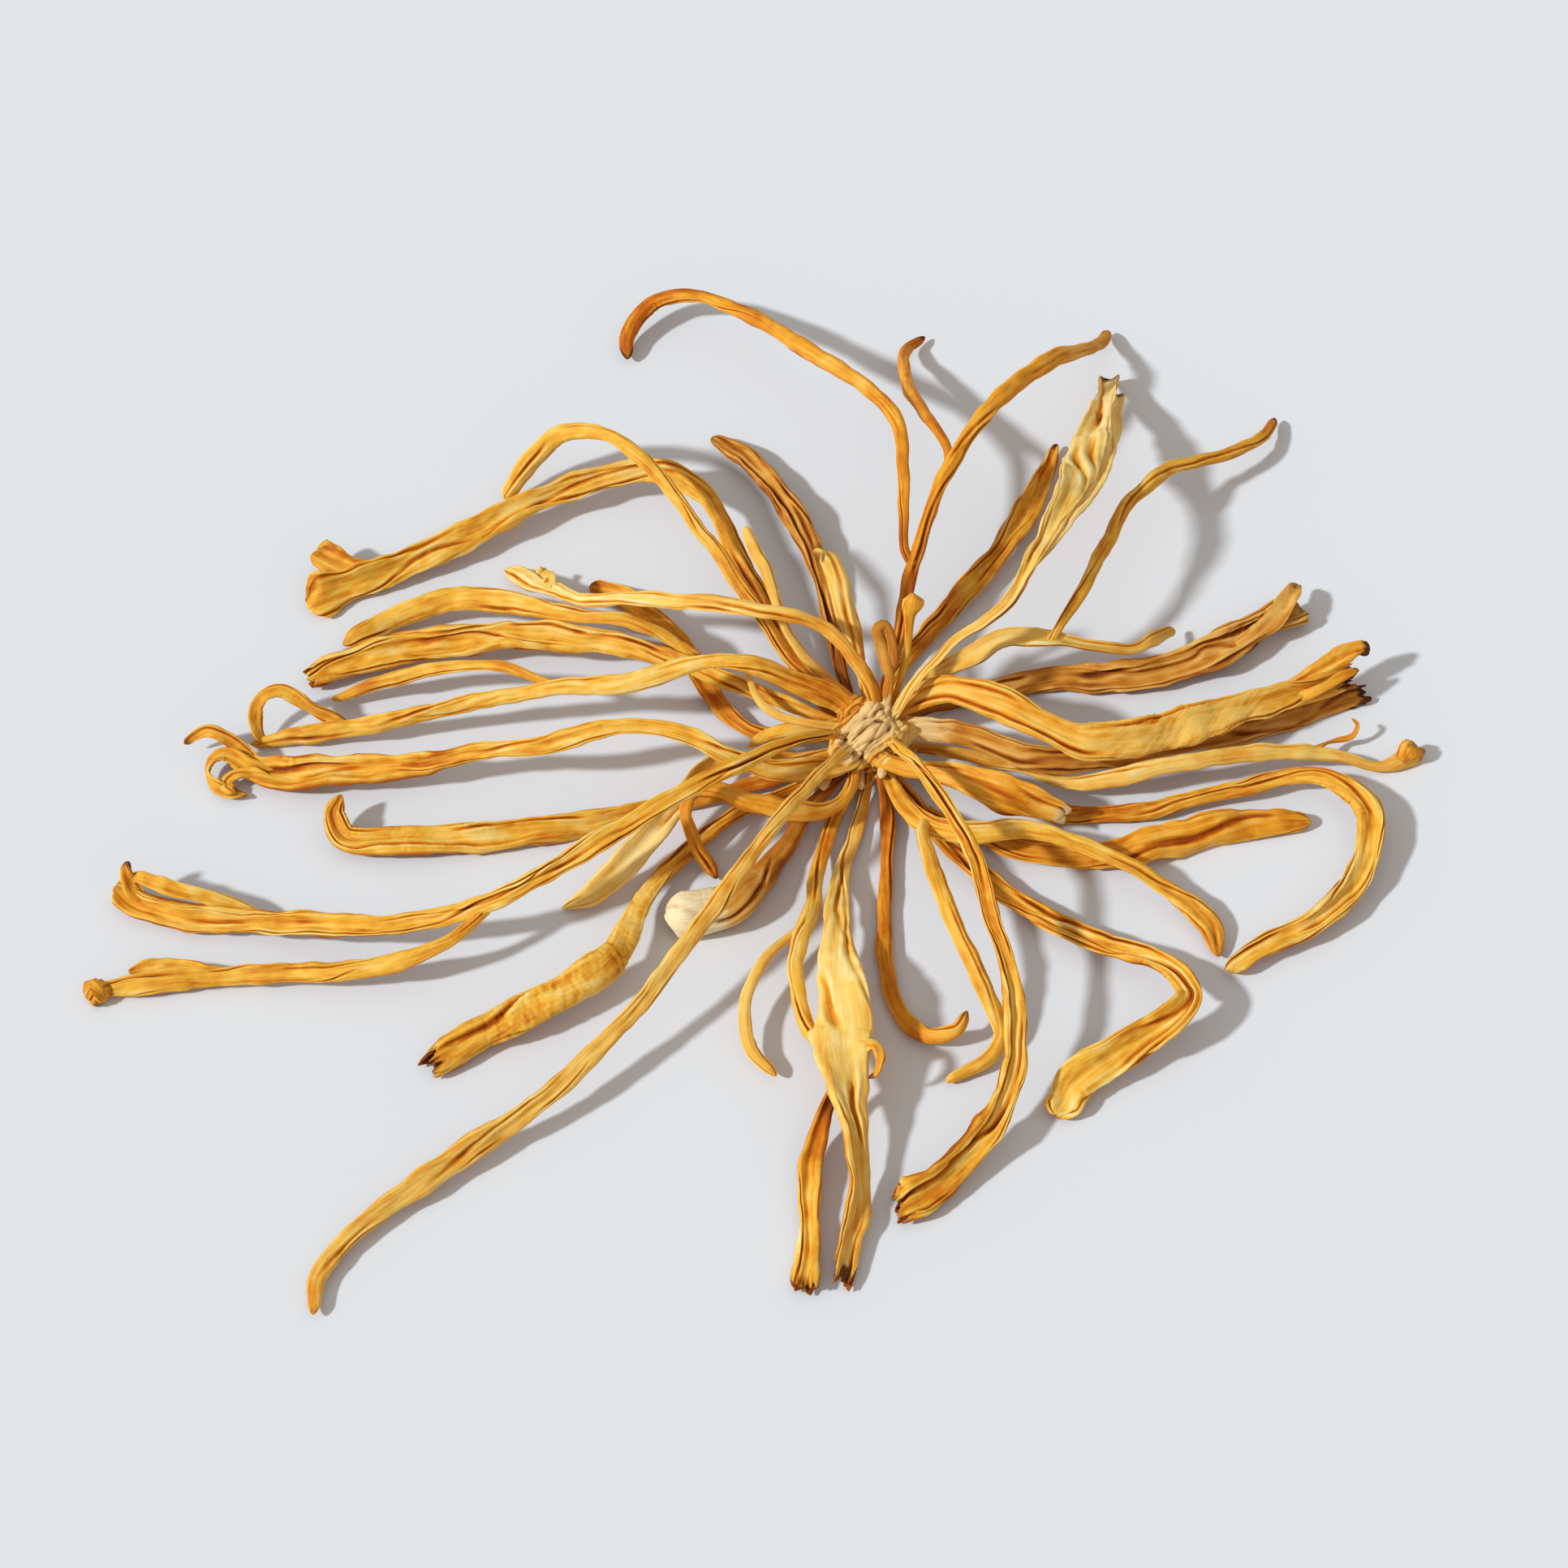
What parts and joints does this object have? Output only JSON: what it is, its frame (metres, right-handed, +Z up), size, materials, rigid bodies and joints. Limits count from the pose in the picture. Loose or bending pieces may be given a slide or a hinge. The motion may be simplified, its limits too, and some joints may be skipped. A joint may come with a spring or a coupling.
{
  "type": "dried cordyceps cluster",
  "caption": "Dried cordyceps cluster: slender, shrivelled orange-yellow fungus stems arching out of one pale base that is cut flat beneath.",
  "frame": {"origin": "on the base's flat cut, about under its middle, in the plane that the cluster rests on", "axes": "+Z up, away from the cut; X along the longest stems, left to right as pictured; -Y towards the viewer"},
  "size_m": [0.1657, 0.1538, 0.018],
  "materials": {
    "golden": "matte, shrivelled fungus flesh",
    "pale": "matte, pale shrivelled fungus flesh",
    "orange": "satin, orange shrivelled fungus flesh",
    "brown": "matte, brown shrivelled fungus flesh",
    "mycelium": "matte, fibrous"
  },
  "bodies": {
    "root": {"base": "mycelium", "left_long_stem": "golden", "left_front_stem": "golden", "left_upper_stem": "pale", "left_leaf_stem": "pale", "left_hooked_stem": "golden", "left_arch_stem": "golden", "left_broad_stem": "orange", "short_left_stem": "golden", "short_pale_stem": "pale", "back_thin_stem": "pale", "back_pale_stem": "pale", "back_folded_stem": "brown", "back_knob_stem": "golden", "back_arch_stem": "orange", "back_ribbon_stem": "pale", "right_upper_stem": "pale", "right_back_stem": "brown", "right_ribbon_stem": "orange", "right_brown_stem": "brown", "right_thin_stem": "pale", "right_torn_stem": "orange", "right_low_stem": "golden", "front_branch_stem": "golden", "front_strap_stem": "golden", "front_curled_stem": "orange", "front_club_stem": "pale", "front_side_stem": "orange", "front_thin_stem": "golden", "front_loop_stem": "orange", "front_hollow_stem": "brown", "front_wrinkled_stem": "golden", "left_middle_stem": "golden", "left_fork_stem": "golden", "left_strap_stem": "golden", "left_side_stem": "golden", "left_low_stem": "golden", "left_tail_stem": "golden", "back_side_stem": "orange", "back_curl_stem": "orange", "back_low_stem": "brown", "back_right_stem": "golden", "right_curl_stem": "golden", "right_loop_stem": "golden", "right_front_stem": "orange", "front_left_stem": "pale", "front_right_stem": "golden", "front_twig_stem": "pale"}
  },
  "joints": []
}
